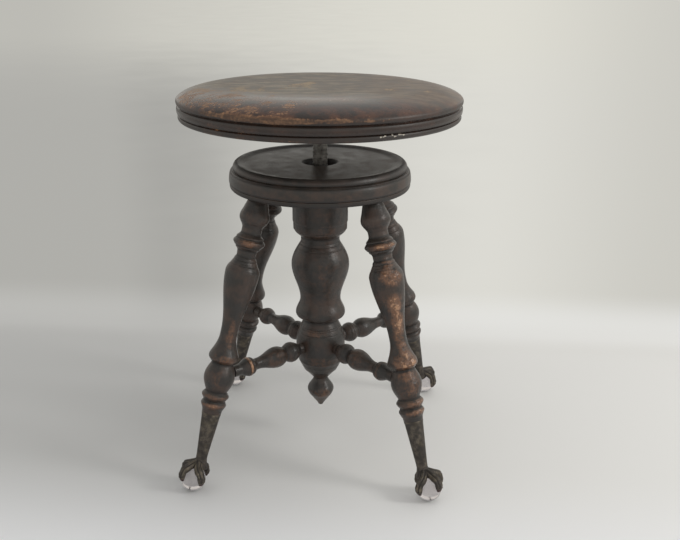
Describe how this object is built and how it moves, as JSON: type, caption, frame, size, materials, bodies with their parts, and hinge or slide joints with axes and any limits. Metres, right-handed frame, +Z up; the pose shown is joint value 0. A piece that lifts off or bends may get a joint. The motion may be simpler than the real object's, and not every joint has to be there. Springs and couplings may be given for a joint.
{
  "type": "revolving piano stool",
  "caption": "Round wooden stool whose seat turns and rises on an iron screw, on leaning turned legs with cast claw feet that grip glass balls.",
  "frame": {"origin": "on the floor, under the middle of the seat, between the four glass balls", "axes": "+Z up along the screw; the legs stand on the diagonals between +X and +Y, and one bay between two legs faces -Y"},
  "size_m": [0.356, 0.356, 0.491],
  "materials": {
    "seat_wood": "dark stained hardwood under old varnish, worn through to orange-brown on the front edge and scratched on top",
    "frame_wood": "near-black stained hardwood under satin old varnish",
    "leg_wood": "dark stained hardwood, worn to orange-brown on its beads and outer faces",
    "cast_iron": "dark oiled cast iron",
    "screw_steel": "worn bright steel, dark in the thread",
    "claw_metal": "cast metal with a dark bronze-brown patina, rubbed on the knuckles",
    "ball_glass": "clear solid glass with a faint lilac tint"
  },
  "bodies": {
    "base": {"round_block": "frame_wood", "threaded_nut": "cast_iron", "nut_screws": "screw_steel", "centre_post": "frame_wood", "drop_finial": "frame_wood", "leg_1": "leg_wood", "leg_2": "leg_wood", "leg_3": "leg_wood", "leg_4": "leg_wood", "stretcher_1": "leg_wood", "stretcher_2": "leg_wood", "stretcher_3": "leg_wood", "stretcher_4": "leg_wood", "claw_foot_1": "claw_metal", "claw_foot_2": "claw_metal", "claw_foot_3": "claw_metal", "claw_foot_4": "claw_metal", "foot_nails": "screw_steel", "glass_ball_1": "ball_glass", "glass_ball_2": "ball_glass", "glass_ball_3": "ball_glass", "glass_ball_4": "ball_glass"},
    "stop_washer": {"stop_washer": "screw_steel"},
    "seat": {"seat": "seat_wood", "seat_plate": "cast_iron", "seat_plate_screws": "screw_steel", "screw_spindle": "screw_steel", "cross_pin": "screw_steel", "stop_screw": "screw_steel"}
  },
  "joints": [
    {"name": "seat_rise", "type": "slide", "parent": "base", "child": "stop_washer", "axis": [0, 0, 1], "range_m": [-0.052, 0.075]},
    {"name": "seat_turn", "type": "hinge", "parent": "stop_washer", "child": "seat", "pos_m": [0, 0, 0.2565], "axis": [0, 0, 1], "range_deg": [-3743, 5399]}
  ],
  "couplings": [
    {"joint": "seat_rise", "follows": "seat_turn", "m_per_rad": 0.00079577}
  ]
}
